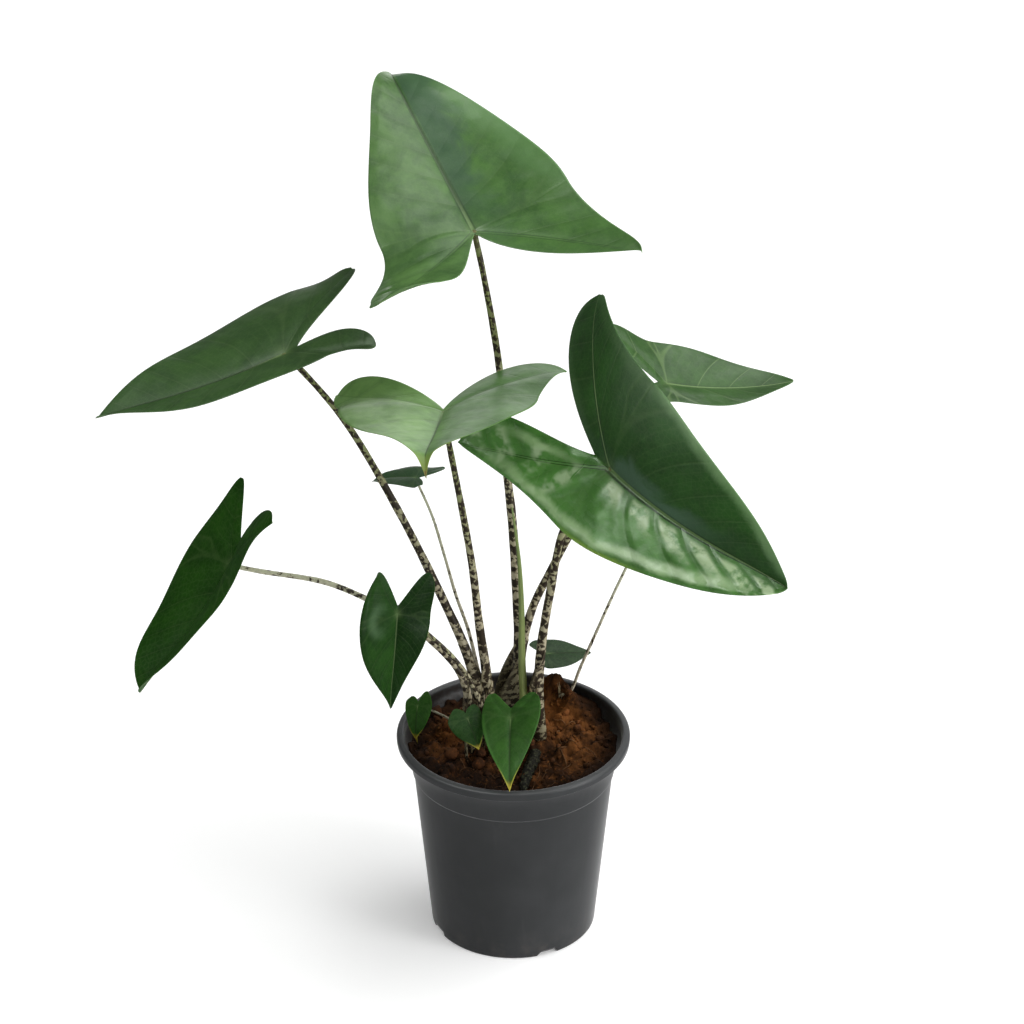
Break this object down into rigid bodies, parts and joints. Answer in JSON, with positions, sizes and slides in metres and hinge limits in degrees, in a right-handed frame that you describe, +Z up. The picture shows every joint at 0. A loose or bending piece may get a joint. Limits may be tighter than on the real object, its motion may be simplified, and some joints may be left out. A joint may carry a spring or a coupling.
{
  "type": "potted zebrina alocasia",
  "caption": "Aroid house plant with glossy arrow-shaped leaves on zebra-mottled stems, standing in soil in a round tapered nursery pot.",
  "frame": {"origin": "middle of the pot's underside, on the surface it stands on", "axes": "+Z up through the pot; -Y towards the side the picture was taken from; +X to the right of that view"},
  "size_m": [0.4922, 0.3364, 0.6074],
  "materials": {
    "blade": "glossy waxy green leaf",
    "petiole": "cream and olive stem with dark zebra mottling",
    "spear": "smooth olive green rolled leaf",
    "old_stem": "dark knobbly stem with leaf scars",
    "soil": "damp red-brown coir and peat",
    "pot": "satin anthracite moulded plastic"
  },
  "bodies": {
    "root": {"blade_top": "blade", "petiole_top": "petiole", "blade_left": "blade", "petiole_left": "petiole", "blade_lower_left": "blade", "petiole_lower_left": "petiole", "blade_small_heart": "blade", "petiole_small_heart": "petiole", "blade_centre": "blade", "petiole_centre": "petiole", "blade_front_right": "blade", "petiole_front_right": "petiole", "blade_back_right": "blade", "petiole_back_right": "petiole", "blade_behind_small": "blade", "petiole_behind_small": "petiole", "blade_rear_low": "blade", "petiole_rear_low": "petiole", "blade_front_young": "blade", "petiole_front_young": "petiole", "blade_rim_small": "blade", "petiole_rim_small": "petiole", "blade_shaded_small": "blade", "petiole_shaded_small": "petiole", "blade_hidden_small": "blade", "petiole_hidden_small": "petiole", "spear_leaf": "spear", "old_stem": "old_stem", "soil": "soil", "pot": "pot"}
  },
  "joints": []
}
